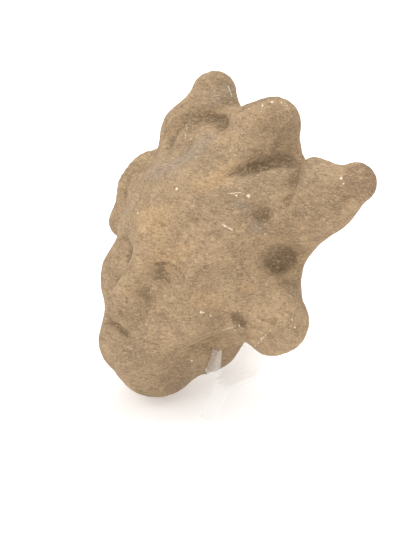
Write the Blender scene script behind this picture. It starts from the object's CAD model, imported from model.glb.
# Worn limestone head with radiating locks, leaning in a bent easel of clear acrylic
import math

import bmesh
import bpy
import numpy as np
from mathutils import Euler, Matrix, Vector, noise
from mathutils.bvhtree import BVHTree


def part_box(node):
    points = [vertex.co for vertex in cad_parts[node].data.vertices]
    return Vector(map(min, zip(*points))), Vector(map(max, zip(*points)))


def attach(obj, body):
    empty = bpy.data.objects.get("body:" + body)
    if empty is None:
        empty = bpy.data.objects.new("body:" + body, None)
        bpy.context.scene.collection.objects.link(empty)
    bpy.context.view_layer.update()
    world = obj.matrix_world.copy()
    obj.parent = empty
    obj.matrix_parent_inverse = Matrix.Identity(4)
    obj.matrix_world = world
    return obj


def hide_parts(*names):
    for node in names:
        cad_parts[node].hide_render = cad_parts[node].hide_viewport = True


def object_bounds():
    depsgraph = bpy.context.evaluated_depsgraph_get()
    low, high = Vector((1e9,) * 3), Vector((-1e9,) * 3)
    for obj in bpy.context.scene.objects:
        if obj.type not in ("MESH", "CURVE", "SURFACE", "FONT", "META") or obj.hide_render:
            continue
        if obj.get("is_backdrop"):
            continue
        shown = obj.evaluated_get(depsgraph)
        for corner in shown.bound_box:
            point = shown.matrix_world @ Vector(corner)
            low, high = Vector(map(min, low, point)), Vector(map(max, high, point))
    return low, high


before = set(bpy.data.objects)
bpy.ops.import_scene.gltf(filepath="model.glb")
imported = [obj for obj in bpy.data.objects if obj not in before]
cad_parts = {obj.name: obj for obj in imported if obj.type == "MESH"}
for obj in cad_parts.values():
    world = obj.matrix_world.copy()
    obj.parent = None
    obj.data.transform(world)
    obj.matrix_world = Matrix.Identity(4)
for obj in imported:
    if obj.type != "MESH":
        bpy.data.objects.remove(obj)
bounds_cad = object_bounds()

MM = 0.001
SCENE = bpy.context.scene

# The easel's own place: its middle in X, and the line of its front feet in Y
EASEL_LOW, EASEL_HIGH = (Vector(c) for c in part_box("acrylic_easel"))
FOOT_HALF = 2.35 * MM
EASEL = Vector(((EASEL_LOW.x + EASEL_HIGH.x) / 2, EASEL_LOW.y + FOOT_HALF, 0.0))

# The head's upright frame in the easel: +X its left, -Y its front, +Z its crown
HEAD_PLACE = EASEL + Vector((24, 31, 104)) * MM
HEAD_TURN = (Euler((math.radians(-24), 0, 0)).to_matrix()
             @ Euler((0, math.radians(4), 0)).to_matrix()
             @ Euler((0, 0, math.radians(7))).to_matrix())
FACE_MIDDLE = 3.0
HAIRLINE = 44.0
CHIN = -94.0
FACE_HEIGHT = HAIRLINE - CHIN
BROW = HAIRLINE - FACE_HEIGHT / 3
NOSE_BASE = HAIRLINE - 2 * FACE_HEIGHT / 3
EYE_LEVEL = BROW - 11
EYE_SIDE = 22.0
MOUTH = NOSE_BASE - FACE_HEIGHT / 9

# Sizes of the easel that the stone is worn round, as the solids have them
SHELF_BACK, SHELF_HEIGHT = 40.0, 22.0
BACK_LEAN = math.radians(28)
BACK_CUT = 2.5
ARM_INNER = 55.4
LIP_BACK = 17.5
LIP_TOP = 45.0


# Camera, at the photograph's angle over the near side of the easel
CAMERA_AZIMUTH = math.radians(51)
CAMERA_TILT = math.radians(23.6)
CAMERA_FAR = 0.7
CAMERA_AIM = EASEL + Vector((-3.3, 60, 65.5)) * MM
FOCAL_PIXELS = 933
PICTURE_HEIGHT = 547
SENSOR = 36.0


def make_camera():
    back = Vector((math.sin(CAMERA_AZIMUTH) * math.cos(CAMERA_TILT),
                   -math.cos(CAMERA_AZIMUTH) * math.cos(CAMERA_TILT),
                   math.sin(CAMERA_TILT)))
    data = bpy.data.cameras.new("camera")
    data.sensor_fit = "AUTO"
    data.sensor_width = SENSOR
    data.lens = FOCAL_PIXELS / PICTURE_HEIGHT * SENSOR
    data.clip_start = 0.01
    data.clip_end = 50
    camera = bpy.data.objects.new("camera", data)
    camera.location = CAMERA_AIM + back * CAMERA_FAR
    camera.rotation_euler = back.to_track_quat("Z", "Y").to_euler()
    SCENE.collection.objects.link(camera)
    SCENE.camera = camera


make_camera()


# Small helpers for numbers over a whole mesh
def smooth_step(x, low, high):
    t = np.clip((x - low) / (high - low), 0, 1)
    return t * t * (3 - 2 * t)


def bell(r2):
    return np.exp(-r2)


def mesh_points(mesh):
    flat = np.empty(len(mesh.vertices) * 3)
    mesh.vertices.foreach_get("co", flat)
    return flat.reshape(-1, 3)


def mesh_normals(mesh):
    flat = np.empty(len(mesh.vertices) * 3)
    mesh.vertex_normals.foreach_get("vector", flat)
    return flat.reshape(-1, 3)


def noise_at(points, scale, octaves=1, seed=0.0):
    """Smooth noise of about -1 to 1 at points in millimetres; scale is the size of its lumps."""
    shift = Vector((seed * 17.3, seed * -9.1, seed * 5.7))
    step = 1.0 / scale
    if octaves == 1:
        return np.array([noise.noise(Vector(p) * step + shift) for p in points])
    return np.array([noise.fractal(Vector(p) * step + shift, 0.8, 2.1, octaves) for p in points])


def cells_at(points, scale, seed=0.0):
    """Distance to the nearest of scattered points, in lumps of the given size."""
    shift = Vector((seed * 7.7, seed * 3.1, seed * -11.9))
    step = 1.0 / scale
    return np.array([noise.voronoi(Vector(p) * step + shift)[0][0] for p in points])


def grid_of(source, name, voxel, smoothing):
    """A fine even mesh of the form of a solid."""
    mesh = source.data.copy()
    piece = bpy.data.objects.new(name, mesh)
    SCENE.collection.objects.link(piece)
    remesh = piece.modifiers.new("even", "REMESH")
    remesh.mode = "VOXEL"
    remesh.voxel_size = voxel
    soft = piece.modifiers.new("soft", "SMOOTH")
    soft.factor = 0.5
    soft.iterations = smoothing
    graph = bpy.context.evaluated_depsgraph_get()
    fine = bpy.data.meshes.new_from_object(piece.evaluated_get(graph))
    piece.modifiers.clear()
    piece.data = fine
    bpy.data.meshes.remove(mesh)
    return piece


# The stone's form by distance, negative inside, in millimetres in the head's own frame.
# It is the form that the faceted solid approximates, so the fine mesh is settled onto it.
def mass(p, middle, half):
    r = (p - np.array(middle)) / np.array(half)
    inner = np.linalg.norm(r, axis=1)
    slope = np.linalg.norm(r / np.array(half), axis=1)
    return inner * (inner - 1) / np.maximum(slope, 1e-9)


def taper(p, start, end, thick, thin):
    a, b = np.array(start, float), np.array(end, float)
    along = np.clip(((p - a) @ (b - a)) / ((b - a) @ (b - a)), 0, 1)
    return np.linalg.norm(p - a - along[:, None] * (b - a), axis=1) - thick - (thin - thick) * along


def join(a, b, soft):
    h = np.maximum(soft - np.abs(a - b), 0) / soft
    return np.minimum(a, b) - h * h * soft / 4


def carve(solid, tool, soft):
    return -join(-solid, tool, soft)


LOCK_ROOT = 42
LOCK_DEPTH = 14
LOCKS = (
    # angle, reach, tip, root, back
    (79, 98, 18.5, 37, 6),
    (90, 89, 14, 30, 8),
    (114.5, 111, 16, 37, 12),
    (127, 85, 24, 32, 12),
    (41, 124, 13, 28, 10),
    (50, 94, 15, 30, 10),
    (38, 99, 19, 24, 8),
    (-15, 81, 23, 35, 6),
    (157, 80, 14, 26, 6),
    (170, 80, 15, 28, 6),
    (188, 77, 13, 24, 4),
    (218.7, 105, 13, 34, 37),
)


def bare_head(p):
    mane = mass(p, (1, 16, 18), (74, 28, 76))
    for angle, reach, tip, root, back in LOCKS:
        way = math.radians(angle)
        start = (LOCK_ROOT * math.cos(way), LOCK_DEPTH, LOCK_ROOT * math.sin(way))
        end = (reach * math.cos(way), back, reach * math.sin(way))
        mane = join(mane, taper(p, start, end, root, tip), 14)
    skull = join(mass(p, (FACE_MIDDLE, -8, 6), (56, 44, 62)), mass(p, (FACE_MIDDLE, -13, -50), (42, 36, 44)), 22)
    neck = join(mass(p, (7, -8, -82), (31, 30, 28.5)), mass(p, (24, 20, -58), (24, 22, 26)), 12)
    return join(join(mane, skull, 20), neck, 16)


def add_face(p, d):
    q = p.copy()
    q[:, 0] = np.abs(p[:, 0] - FACE_MIDDLE)
    d = carve(d, mass(q, (EYE_SIDE + 2, -54, EYE_LEVEL), (15, 13, 10)), 9)
    d = join(d, taper(q, (5, -47, BROW - 1), (36, -36, BROW - 3), 6, 5), 12)
    d = join(d, taper(q, (0, -47, BROW - 3), (0, -55, NOSE_BASE + 6), 5.5, 8.5), 9)
    d = join(d, mass(q, (8, -49, NOSE_BASE + 4), (6, 7, 5.5)), 6)
    d = join(d, mass(q, (EYE_SIDE, -38, EYE_LEVEL), (12, 8.5, 7)), 4)
    d = join(d, mass(q, (30, -30, NOSE_BASE + 12), (16, 14, 18)), 14)
    d = join(d, mass(q, (0, -42, MOUTH), (19, 9, 11)), 10)
    return join(d, mass(q, (0, -40, CHIN + 15), (17, 11, 13)), 12)


HOLLOWS = (
    # x, z, wide, tall, deep
    (70, 19, 11, 10, 8),
    (67, -27, 8, 7, 3),
    (87, -33, 7, 6, 2.5),
    (55, 39, 6, 9, 3),
    (-18, 56, 12, 15, 3.5),
    (41, 48, 9, 10, -3),
    (-16, 72, 9, 8, -3),
)
ARCHES = (
    # x, z, wide, tall, from, to, half, deep
    (46, 50, 19, 29, 15, 140, 7, 4.5),
    (-24, 64, 21, 21, 65, 200, 6, 4),
    (FACE_MIDDLE, -8, 56, 51, -10, 190, 8, -2),
)


def carving(p):
    x, y, z = p.T
    depth = 2.2 * bell(((z - MOUTH) / 2.6) ** 2 + (np.abs(x - FACE_MIDDLE) / 15) ** 4)
    for at_x, at_z, wide, tall, deep in HOLLOWS:
        depth += deep * bell(((x - at_x) / wide) ** 2 + ((z - at_z) / tall) ** 2)
    for at_x, at_z, wide, tall, low, high, half, deep in ARCHES:
        dx, dz = (x - at_x) / wide, (z - at_z) / tall
        angle = (np.degrees(np.arctan2(dz, dx)) - low) % 360
        past = np.minimum(np.maximum(angle - (high - low), 0), 360 - np.maximum(angle, high - low))
        off = (np.hypot(dx, dz) - 1) * math.hypot(wide, tall) / math.sqrt(2)
        depth += deep * bell((off / half) ** 2 + (past / 22) ** 2)
    return depth * (1 - smooth_step(y, 4, 22))


def stone_form(p):
    placed = (p @ np.array(HEAD_TURN).T) + (np.array(HEAD_PLACE) - np.array(EASEL)) / MM
    x, y, z = placed.T
    behind = (z - SHELF_HEIGHT) * math.sin(BACK_LEAN) - (y - SHELF_BACK) * math.cos(BACK_LEAN) - BACK_CUT
    beside = ARM_INNER - 5 - np.abs(x)
    front = carve(y - LIP_BACK, LIP_TOP + 14 - z, 8)
    hooks = carve(np.minimum(front, z - SHELF_HEIGHT - 4), -beside, 34)
    head = add_face(p, bare_head(p)) + carving(p)
    return carve(carve(head, behind, 10), hooks, 8)


def settle(p, rounds=4, reach=0.25):
    """Moves points onto the surface of the form."""
    for _ in range(rounds):
        d = stone_form(p)
        slope = np.stack([stone_form(p + np.eye(3)[i] * reach) - d for i in range(3)], axis=1) / reach
        step = d / np.maximum((slope ** 2).sum(axis=1), 0.2)
        p = p - np.clip(step, -2, 2)[:, None] * slope
    return p


# The stone's worn surface
def to_head(points):
    """Places in the head's upright frame, in millimetres."""
    return ((points - np.array(HEAD_PLACE)) / MM) @ np.array(HEAD_TURN)


def from_head(points):
    return np.array(points, float) @ np.array(HEAD_TURN).T * MM + np.array(HEAD_PLACE)


def stroke(x, z, points, half):
    """1 along a bent line of points, fading out over half its width."""
    best = np.full(len(x), 1e9)
    for (ax, az), (bx, bz) in zip(points, points[1:]):
        dx, dz = bx - ax, bz - az
        along = np.clip(((x - ax) * dx + (z - az) * dz) / (dx * dx + dz * dz), 0, 1)
        best = np.minimum(best, np.hypot(x - ax - dx * along, z - az - dz * along))
    return bell((best / half) ** 2)


def face_relief(q):
    """Height of the softly worn features of the face, both sides alike."""
    side = np.abs(q[:, 0] - FACE_MIDDLE)
    up = q[:, 2]
    front = smooth_step(-q[:, 1], 18, 30)
    across = (side - EYE_SIDE) / 11
    lid = EYE_LEVEL + 4.2 * (1 - across ** 2)
    under = EYE_LEVEL - 3.0 * (1 - across ** 2)
    inside = smooth_step(1 - np.abs(across), -0.15, 0.15)
    height = 0.8 * bell(((up - lid - 1.5) / 1.5) ** 2) * inside
    height -= 1.0 * bell(((up - lid + 0.4) / 0.9) ** 2) * inside
    height -= 0.8 * bell(((up - under) / 0.9) ** 2) * inside
    height += 0.5 * bell(((up - under + 1.9) / 1.4) ** 2) * inside
    height -= 1.6 * bell(((side - 6.5) / 2.4) ** 2 + ((up - NOSE_BASE + 0.5) / 1.8) ** 2)
    height -= 0.7 * bell((side / 2.2) ** 2 + ((up - (NOSE_BASE + MOUTH) / 2 - 2) / 4.5) ** 2)
    bow = MOUTH + 0.8 * np.cos(side / 3.2) - 0.012 * side ** 2
    height -= 1.1 * bell(((up - bow) / 1.0) ** 2 + (side / 15) ** 4)
    height += 0.8 * bell(((up - bow - 3.6) / 2.2) ** 2 + (side / 11) ** 4)
    height += 1.0 * bell(((up - bow + 4.2) / 2.6) ** 2 + (side / 9) ** 4)
    return height * front


def hair_relief(q):
    """Faint strands left along the locks."""
    x, z = q[:, 0], q[:, 2]
    out = np.hypot(x, z)
    way = np.degrees(np.arctan2(z, x))
    strands = np.zeros(len(x))
    for angle in (79, 114.5, 41, -15, 157, 170, 218.7):
        off = (way - angle + 180) % 360 - 180
        across = out * np.sin(np.radians(off))
        strands += bell((off / 16) ** 2) * np.cos(across / 2.6 * math.pi + 1.3 * np.sin(out / 17 + angle))
    return 0.16 * strands * smooth_step(out, 58, 80) * smooth_step(-q[:, 1], -22, -4)


# Lumps of the worn surface: their size, octaves, height and seed
LUMPS = (
    (34.0, 1, 0.6, 1.0),
    (13.0, 1, 0.4, 2.0),
    (5.2, 2, 0.2, 3.0),
)


def weather(q):
    """Undulation, pits and small chips of the worn surface."""
    height = sum(deep * noise_at(q, scale, octaves, seed) for scale, octaves, deep, seed in LUMPS)
    pits = cells_at(q, 7.5, 4.0)
    where = smooth_step(noise_at(q, 26.0, 1, 5.0), 0.05, 0.5)
    height -= 0.6 * where * bell((pits / 0.26) ** 2)
    return height


# Grooves and small hollows that the photograph shows, in the front view: points, half width, depth
CUTS = (
    (((26, 58), (30, 66), (37, 73), (46, 78), (55, 74), (60, 67)), 3.6, 1.6),
    (((-36, 56), (-37, 68), (-34, 79), (-24, 84), (-9, 83)), 3.4, 1.3),
    (((54, 45), (54, 39)), 3.4, 1.4),
    (((68, 20), (66, 14)), 5.0, 2.2),
    (((77, 8), (77, 4)), 4.0, 1.2),
    (((65, -26), (70, -28)), 4.0, 1.6),
    (((88, -25), (92, -30)), 3.6, 1.0),
    (((-74, 8), (-76, 14)), 3.0, 1.2),
    (((-29, 108), (-22, 98)), 1.8, 0.9),
)


def cut_relief(q):
    x, y, z = q.T
    return -(1 - smooth_step(y, 10, 26)) * sum(deep * stroke(x, z, points, half) for points, half, deep in CUTS)


def averaged(edges, values, rounds):
    """Values smoothed over neighbouring points of a mesh."""
    count = len(values)
    share = np.bincount(edges.ravel(), minlength=count)
    for _ in range(rounds):
        total = np.bincount(edges[:, 0], values[edges[:, 1]], count)
        total += np.bincount(edges[:, 1], values[edges[:, 0]], count)
        values = 0.5 * values + 0.5 * total / np.maximum(share, 1)
    return values


def hollowness(mesh, points, normals, rounds):
    """How far each point lies below its surroundings, in millimetres."""
    edges = np.empty(len(mesh.edges) * 2, int)
    mesh.edges.foreach_get("vertices", edges)
    edges = edges.reshape(-1, 2)
    around = np.stack([averaged(edges, points[:, i], rounds) for i in range(3)], axis=1)
    return ((around - points) * normals).sum(axis=1) / MM


STONE_VOXEL = 1.55 * MM
CLEAR = 0.25 * MM


def keep_clear(points, inner, blocker):
    """Holds the points of the stone off the acrylic, so that neither runs into the other."""
    tree = BVHTree.FromObject(blocker, bpy.context.evaluated_depsgraph_get())
    low = np.array(EASEL_LOW) - 0.004
    high = np.array(EASEL_HIGH) + 0.004
    for i in np.nonzero(((points > low) & (points < high)).all(axis=1))[0]:
        place, normal, _, far = tree.find_nearest(Vector(points[i]), 0.004)
        if place is None:
            continue
        off = (Vector(points[i]) - place).dot(normal)
        if -0.0025 < off < CLEAR:
            points[i] = place + normal * CLEAR
        elif off <= -0.0025:
            points[i] = inner[i]
    return points


# Patches of patina in the front view: x, z, radius, strength
DARK = (
    (-33, 66, 7, 0.7), (-36, 76, 6, 0.8), (-29, 84, 6, 0.9), (-14, 84, 6, 0.7), (-33, 55, 6, 0.5),
    (26, 60, 5, 0.6), (33, 67, 6, 0.9), (42, 77, 6, 0.8), (56, 72, 6, 0.9), (59, 66, 5, 0.7),
    (54, 41, 5, 0.8), (67, 17, 7, 1.1), (77, 6, 5, 0.7), (67, -27, 5, 1.2), (91, -27, 5, 0.8),
    (-74, 11, 6, 0.7), (-76, 24, 6, 0.5), (-26, 101, 4, 0.7),
    (-44, 105, 8, 0.4),
)
GREY = (
    (-13, 47, 12, 0.9), (-11, 62, 10, 0.9), (-11, 72, 8, 0.7), (-26, 36, 9, 0.6), (46, 42, 6, 0.7),
    (56, 33, 6, 0.8), (-33, 98, 10, 0.6), (-30, 110, 8, 0.5), (98, -5, 8, 0.4),
)
WARM = (
    (24, 52, 6, 1.0), (22, 60, 6, 0.8), (20, 44, 8, 0.7), (6, 14, 13, 0.8), (20, -8, 12, 0.8),
    (-10, 8, 12, 0.6), (66, -4, 8, 0.6), (50, -22, 9, 0.8), (30, 2, 6, 0.8), (20, 98, 10, 0.5),
)
RED = ((104, 84, 12, 1.0), (101, 92, 9, 0.8), (96, 74, 7, 0.4), (55, 40, 4, 0.6))


def patches(q, places):
    x, y, z = q.T
    total = np.zeros(len(x))
    for at_x, at_z, radius, strength in places:
        total += strength * bell(((x - at_x) ** 2 + (z - at_z) ** 2) / radius ** 2)
    return np.clip(total, 0, 1) * (1 - smooth_step(y, 14, 30))


def paint(mesh, name, values):
    layer = mesh.attributes.new(name, "FLOAT", "POINT")
    layer.data.foreach_set("value", values.astype(np.float32))


def make_stone():
    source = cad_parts["limestone_head"]
    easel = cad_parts["acrylic_easel"]
    piece = grid_of(source, "worn_limestone_head", STONE_VOXEL, 8)
    mesh = piece.data
    mesh.vertices.foreach_set("co", from_head(settle(to_head(mesh_points(mesh)))).ravel())
    mesh.update()
    points = mesh_points(mesh)
    q = to_head(points)
    height = face_relief(q) + hair_relief(q) + cut_relief(q) + weather(q)
    moved = points + mesh_normals(mesh) * height[:, None] * MM
    moved = np.clip(keep_clear(moved, points, easel), *np.array(bounds_cad))
    mesh.vertices.foreach_set("co", moved.ravel())
    mesh.update()
    mesh.shade_smooth()
    points, normals = mesh_points(mesh), mesh_normals(mesh)
    paint(mesh, "nook", hollowness(mesh, points, normals, 12))
    paint(mesh, "hollow", hollowness(mesh, points, normals, 90))
    for name, places in (("dark", DARK), ("grey", GREY), ("warm", WARM), ("red", RED)):
        paint(mesh, name, patches(q, places))
    return piece


stone = make_stone()
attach(stone, "root")
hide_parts("limestone_head")


# The acrylic, with its bends smooth and its edges lightly eased
EASE = 0.5 * MM
SHEET = 4.0 * MM
FACE, CUT_EDGE, EASED_EDGE = range(3)


def is_end(face, mesh):
    """A cut end of the sheet is a face about as long as the sheet is thick, measured across X."""
    places = [mesh.vertices[i].co for i in face.vertices]
    reach = max((Vector((0, b.y - a.y, b.z - a.z)).length for a in places for b in places))
    return reach < 1.25 * SHEET and face.area > 20 * MM * MM and len(places) == 4 and abs(face.normal.z) > 0.5


def make_acrylic():
    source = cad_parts["acrylic_easel"]
    mesh = source.data.copy()
    form = bmesh.new()
    form.from_mesh(mesh)
    bmesh.ops.remove_doubles(form, verts=form.verts, dist=1e-6)
    bmesh.ops.dissolve_limit(form, angle_limit=math.radians(2), verts=form.verts, edges=form.edges)
    sharp = [e for e in form.edges if len(e.link_faces) == 2 and e.calc_face_angle() > math.radians(40)]
    bmesh.ops.bevel(form, geom=sharp, offset=EASE, segments=2, profile=0.6, affect="EDGES",
                     material=EASED_EDGE)
    form.to_mesh(mesh)
    form.free()
    piece = bpy.data.objects.new("clear_acrylic_easel", mesh)
    SCENE.collection.objects.link(piece)
    mesh.shade_smooth()
    mesh.set_sharp_from_angle(angle=math.radians(32))
    for face in mesh.polygons:
        if face.material_index != EASED_EDGE:
            face.material_index = CUT_EDGE if abs(face.normal.x) > 0.9 or is_end(face, mesh) else FACE
    return piece


acrylic = make_acrylic()
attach(acrylic, "root")
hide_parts("acrylic_easel")


# Materials
class Nodes:
    """Short calls for building a node material."""

    def __init__(self, name):
        self.material = bpy.data.materials.new(name)
        self.material.use_nodes = True
        self.tree = self.material.node_tree
        self.shader = self.tree.nodes["Principled BSDF"]

    def add(self, kind, inputs=None, **settings):
        node = self.tree.nodes.new(kind)
        for key, value in settings.items():
            setattr(node, key, value)
        for key, value in (inputs or {}).items():
            self.set(node, key, value)
        return node

    def set(self, node, key, value):
        socket = node.inputs[key]
        if isinstance(value, bpy.types.NodeSocket):
            self.tree.links.new(value, socket)
        else:
            socket.default_value = value

    def math(self, operation, a, b=0.0, clamp=False):
        node = self.add("ShaderNodeMath", operation=operation, use_clamp=clamp)
        self.set(node, 0, a)
        self.set(node, 1, b)
        return node.outputs[0]

    def vector(self, operation, a, b=None, scale=None):
        node = self.add("ShaderNodeVectorMath", operation=operation)
        self.set(node, 0, a)
        if b is not None:
            self.set(node, 1, b)
        if scale is not None:
            self.set(node, "Scale", scale)
        return node.outputs["Value" if operation in ("DISTANCE", "LENGTH", "DOT_PRODUCT") else "Vector"]

    def noise(self, place, scale, detail=2.0, roughness=0.5, distortion=0.0):
        return self.add("ShaderNodeTexNoise", {
            "Vector": place, "Scale": scale, "Detail": detail, "Roughness": roughness, "Distortion": distortion,
        }).outputs["Fac"]

    def ramp(self, value, low, high):
        return self.add("ShaderNodeMapRange", {
            "Value": value, "From Min": low, "From Max": high, "To Min": 0.0, "To Max": 1.0,
        }, interpolation_type="SMOOTHSTEP").outputs[0]

    def mix(self, factor, a, b, blend="MIX"):
        node = self.add("ShaderNodeMix", data_type="RGBA", blend_type=blend)
        self.set(node, 0, factor)
        self.set(node, 6, a)
        self.set(node, 7, b)
        return node.outputs[2]


def colour(red, green, blue):
    """A colour given as it looks on screen, from 0 to 255."""
    def linear(value):
        value /= 255
        return value / 12.92 if value <= 0.04045 else ((value + 0.055) / 1.055) ** 2.4
    return (linear(red), linear(green), linear(blue), 1.0)


# White flecks and fine scratches, in the head's own frame: places in millimetres, half width
FLECKS = (
    ((6, -47, 36), 1.3), ((-18, -49, 10), 1.0), ((51, -34, -30), 1.1), ((53, -33, -30), 0.9),
    ((54, -27, -31), 0.9), ((67, -12, -31), 0.7), ((74, -14, -27), 0.7), ((64, -10, -35), 0.6),
    ((97, -3, -12), 0.8), ((100, -1, -16), 0.9), ((86, 2, 0), 0.6), ((35, -3, -72), 0.9),
    ((17, -10, 105), 1.1), ((21, -7, 109), 1.2), ((6, -9, 100), 0.8), ((25, -3, 111), 0.9),
    ((28, 0, 111), 0.8), ((91, -4, 81), 1.3), ((45, -25, 49), 1.4), ((-15, -37, 47), 0.7),
    ((93, 0, 78), 0.7), ((40, -30, 46), 0.7),
)
SCRATCHES = (
    ((-41, -10, 74), (-31, -17, 66), 0.45),
    ((-33, 8, 109), (-29, 10, 104), 0.6),
    ((56, -12, -39), (63, -12, -33), 0.4),
    ((81, -7, -38), (86, -10, -31), 0.5),
    ((86, -10, -31), (91, -13, -23), 0.4),
    ((43, -37, 27), (49, -32, 26), 0.5),
    ((36, -33, 45), (42, -28, 50), 0.45),
)


def on_surface(piece, place):
    """The point of a piece nearest to a place in the head's frame."""
    found, where, _, _ = piece.closest_point_on_mesh(Vector(from_head([place])[0]))
    return where if found else Vector(from_head([place])[0])


def limestone(piece):
    m = Nodes("limestone")
    place = m.add("ShaderNodeTexCoord").outputs["Object"]
    broad = m.noise(place, 14, 3, 0.55)
    patch = m.noise(place, 60, 4, 0.6, 0.6)
    mottle = m.noise(place, 190, 3, 0.6, 0.8)
    grain = m.noise(place, 620, 3, 0.65, 0.6)
    speck = m.noise(place, 1300, 2, 0.7)
    streak = m.noise(m.vector("MULTIPLY", place, (0.34, 0.34, 1.0)), 820, 3, 0.6, 1.4)

    def attribute(name):
        return m.add("ShaderNodeAttribute", attribute_name=name).outputs["Fac"]

    def ragged(name, low=0.25, high=0.75):
        rough = m.math("ADD", attribute(name), m.math("MULTIPLY", m.math("SUBTRACT", mottle, 0.5), 1.1))
        return m.ramp(rough, low, high)

    base = m.mix(m.ramp(patch, 0.3, 0.7), colour(142, 119, 92), colour(170, 144, 112))
    base = m.mix(m.math("MULTIPLY", m.ramp(broad, 0.48, 0.7), 0.5), base, colour(134, 118, 98))
    base = m.mix(m.math("MULTIPLY", ragged("warm"), 0.45), base, colour(184, 150, 110))
    base = m.mix(m.math("MULTIPLY", ragged("grey"), 0.55), base, colour(148, 134, 117))
    base = m.mix(m.math("MULTIPLY", ragged("dark"), 0.4), base, colour(104, 88, 64))
    base = m.mix(m.math("MULTIPLY", ragged("red"), 0.55), base, colour(122, 94, 76))
    base = m.mix(m.math("MULTIPLY", m.ramp(attribute("hollow"), 0.2, 2.2), 0.4), base, colour(104, 88, 64))
    base = m.mix(m.math("MULTIPLY", m.ramp(attribute("nook"), 0.05, 0.5), 0.35), base, colour(98, 80, 58))
    base = m.mix(m.math("MULTIPLY", m.ramp(mottle, 0.5, 0.68), 0.35), base, colour(118, 98, 74))
    base = m.mix(m.math("MULTIPLY", m.ramp(streak, 0.5, 0.68), 0.55), base, colour(198, 170, 134))
    base = m.mix(m.math("MULTIPLY", m.ramp(streak, 0.48, 0.32), 0.6), base, colour(106, 86, 62))
    base = m.mix(m.math("MULTIPLY", m.ramp(grain, 0.47, 0.7), 0.5), base, colour(112, 91, 67))
    base = m.mix(m.math("MULTIPLY", m.ramp(speck, 0.54, 0.74), 0.45), base, colour(208, 184, 152))

    warp = m.add("ShaderNodeTexNoise", {"Vector": place, "Scale": 900.0, "Detail": 2.0}).outputs["Color"]
    shift = m.vector("SCALE", m.vector("SUBTRACT", warp, (0.5, 0.5, 0.5)), scale=0.0022)
    near = m.vector("ADD", place, shift)
    marks = 0.0
    for spot, half in FLECKS:
        far = m.vector("DISTANCE", near, on_surface(piece, spot))
        marks = m.math("MAXIMUM", marks, m.ramp(far, half * MM, 0.5 * half * MM))
    for start, end, half in SCRATCHES:
        a, b = on_surface(piece, start), on_surface(piece, end)
        run = b - a
        off = m.vector("SUBTRACT", near, a)
        along = m.math("MULTIPLY", m.vector("DOT_PRODUCT", off, run), 1 / run.length_squared, clamp=True)
        gap = m.vector("SUBTRACT", off, m.vector("SCALE", run, scale=along))
        marks = m.math("MAXIMUM", marks, m.ramp(m.vector("LENGTH", gap), half * MM, 0.3 * half * MM))
    base = m.mix(m.math("MULTIPLY", marks, 0.85), base, colour(236, 222, 200))

    m.set(m.shader, "Base Color", base)
    m.shader.inputs["Roughness"].default_value = 0.85
    m.shader.inputs["Specular IOR Level"].default_value = 0.3
    fine = m.math("ADD", m.math("MULTIPLY", grain, 0.6), m.math("MULTIPLY", speck, 0.25))
    fine = m.math("ADD", fine, m.math("MULTIPLY", mottle, 0.8))
    fine = m.math("ADD", fine, m.math("MULTIPLY", streak, 0.7))
    bump = m.add("ShaderNodeBump", {"Strength": 0.7, "Distance": 0.0009, "Height": fine})
    m.set(m.shader, "Normal", bump.outputs[0])
    return m.material


def clear_acrylic(name, shade, alpha, roughness):
    m = Nodes(name)
    m.shader.inputs["Base Color"].default_value = shade
    m.shader.inputs["Roughness"].default_value = roughness
    m.shader.inputs["IOR"].default_value = 1.49
    m.shader.inputs["Alpha"].default_value = alpha
    return m.material


def dress(piece, *materials):
    piece.data.materials.clear()
    for material in materials:
        piece.data.materials.append(material)


dress(stone, limestone(stone))
dress(acrylic,
      clear_acrylic("clear_acrylic", (0.94, 0.94, 0.93, 1.0), 0.2, 0.06),
      clear_acrylic("clear_acrylic_cut_edge", (0.97, 0.97, 0.96, 1.0), 0.5, 0.12),
      clear_acrylic("clear_acrylic_eased_edge", (0.5, 0.47, 0.43, 1.0), 0.8, 0.1))


# The floor and the light
def plain(name, shade, roughness):
    m = Nodes(name)
    m.shader.inputs["Base Color"].default_value = shade
    m.shader.inputs["Roughness"].default_value = roughness
    m.shader.inputs["Specular IOR Level"].default_value = 0.1
    return m.material


def make_floor():
    half = 6.0
    mesh = bpy.data.meshes.new("floor")
    mesh.from_pydata([(-half, -half, 0), (half, -half, 0), (half, half, 0), (-half, half, 0)], [], [(0, 1, 2, 3)])
    floor = bpy.data.objects.new("floor", mesh)
    floor.location.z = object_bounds()[0][2] - 0.0002
    SCENE.collection.objects.link(floor)
    material = plain("pale_floor", (0.9, 0.895, 0.89, 1.0), 0.9)
    shader = material.node_tree.nodes["Principled BSDF"]
    shader.inputs["Emission Color"].default_value = (1.0, 0.98, 0.96, 1.0)
    shader.inputs["Emission Strength"].default_value = 0.27
    dress(floor, material)
    return floor


make_floor()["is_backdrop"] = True


def sun(name, azimuth, elevation, strength, softness, shade=(1, 1, 1)):
    """Even light from a side and a height; azimuth 0 is from the front, 90 from the near side."""
    data = bpy.data.lights.new(name, "SUN")
    data.energy = strength
    data.angle = math.radians(softness)
    data.color = shade
    light = bpy.data.objects.new(name, data)
    turn, rise = math.radians(azimuth), math.radians(elevation)
    way = Vector((math.sin(turn) * math.cos(rise), -math.cos(turn) * math.cos(rise), math.sin(rise)))
    light.rotation_euler = way.to_track_quat("Z", "Y").to_euler()
    SCENE.collection.objects.link(light)


sun("overhead", 215, 78, 1.5, 32, (1.0, 0.99, 0.97))
sun("left_fill", 0, 40, 0.7, 50)

world = bpy.data.worlds.new("studio")
world.use_nodes = True
world.node_tree.nodes["Background"].inputs[0].default_value = (1.0, 1.0, 1.0, 1.0)
world.node_tree.nodes["Background"].inputs[1].default_value = 0.95
SCENE.world = world
SCENE.view_settings.view_transform = "Standard"
